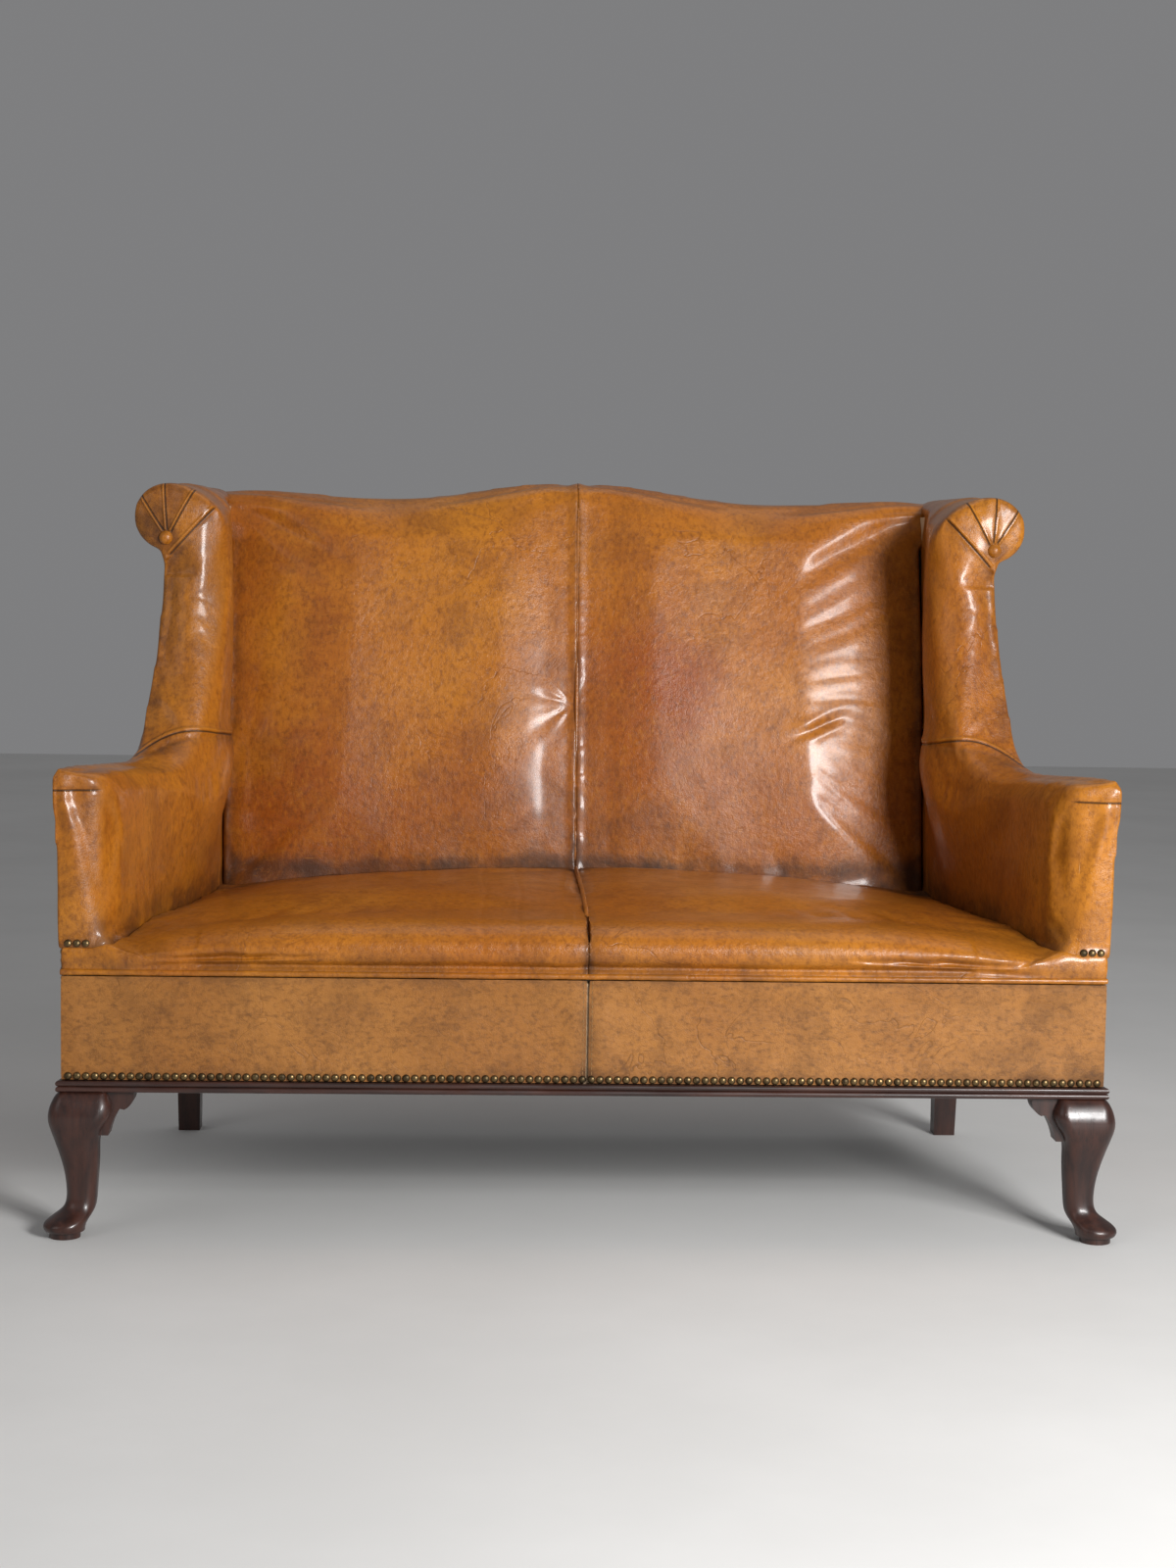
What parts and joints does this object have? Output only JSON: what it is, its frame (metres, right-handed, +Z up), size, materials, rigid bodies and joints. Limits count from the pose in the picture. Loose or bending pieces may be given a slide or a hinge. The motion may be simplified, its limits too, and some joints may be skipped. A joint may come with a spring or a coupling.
{
  "type": "settee",
  "caption": "Two-seat wing settee with a camel back, rolled wing scrolls and crowned seat in waxed leather, on cabriole front legs with a reeded base moulding.",
  "frame": {"origin": "middle of the footprint, on the floor", "axes": "+X along the front towards the viewer's right, +Y to the back, +Z up"},
  "size_m": [1.3946, 0.7452, 1.0041],
  "materials": {
    "leather": "waxed, worn tan",
    "border_leather": "dry, rubbed",
    "mahogany": "dark stained, waxed",
    "beech": "sawn, unfinished",
    "brass": "antique, darkened",
    "jute": "coarse weave",
    "calico": "plain weave",
    "hair_stuffing": "matted",
    "dust_cloth": "plain weave"
  },
  "bodies": {
    "root": {"arm_stop_nails": "brass", "back_centre_welt": "leather", "back_stile": "beech", "back_webbing": "jute", "centre_rail": "beech", "corner_blocks": "beech", "dust_cover": "dust_cloth", "front_moulding": "mahogany", "front_nails": "brass", "front_rail": "beech", "left_arm_cover": "leather", "left_arm_post": "beech", "left_arm_rail": "beech", "left_back_cover": "leather", "left_front_knee_bracket": "mahogany", "left_front_leg": "mahogany", "left_moulding": "mahogany", "left_outside_cover": "leather", "left_rear_leg": "mahogany", "left_scroll": "leather", "left_scroll_block": "beech", "left_scroll_button": "leather", "left_seat_border": "border_leather", "left_seat_cover": "leather", "left_seat_rail": "beech", "left_side_knee_bracket": "mahogany", "left_tacking_rail": "beech", "left_wing_cover": "leather", "left_wing_post": "beech", "lower_back_rail": "beech", "outside_back": "leather", "rail_dowels": "beech", "rear_rail": "beech", "right_arm_cover": "leather", "right_arm_post": "beech", "right_arm_rail": "beech", "right_back_cover": "leather", "right_front_knee_bracket": "mahogany", "right_front_leg": "mahogany", "right_moulding": "mahogany", "right_outside_cover": "leather", "right_rear_leg": "mahogany", "right_scroll": "leather", "right_scroll_block": "beech", "right_scroll_button": "leather", "right_seat_border": "border_leather", "right_seat_cover": "leather", "right_seat_rail": "beech", "right_side_knee_bracket": "mahogany", "right_tacking_rail": "beech", "right_wing_cover": "leather", "right_wing_post": "beech", "seat_centre_welt": "leather", "seat_front_welt": "leather", "seat_springs": "calico", "seat_stuffing": "hair_stuffing", "seat_webbing": "jute", "spring_hessian": "jute", "top_back_rail": "beech"}
  },
  "joints": []
}
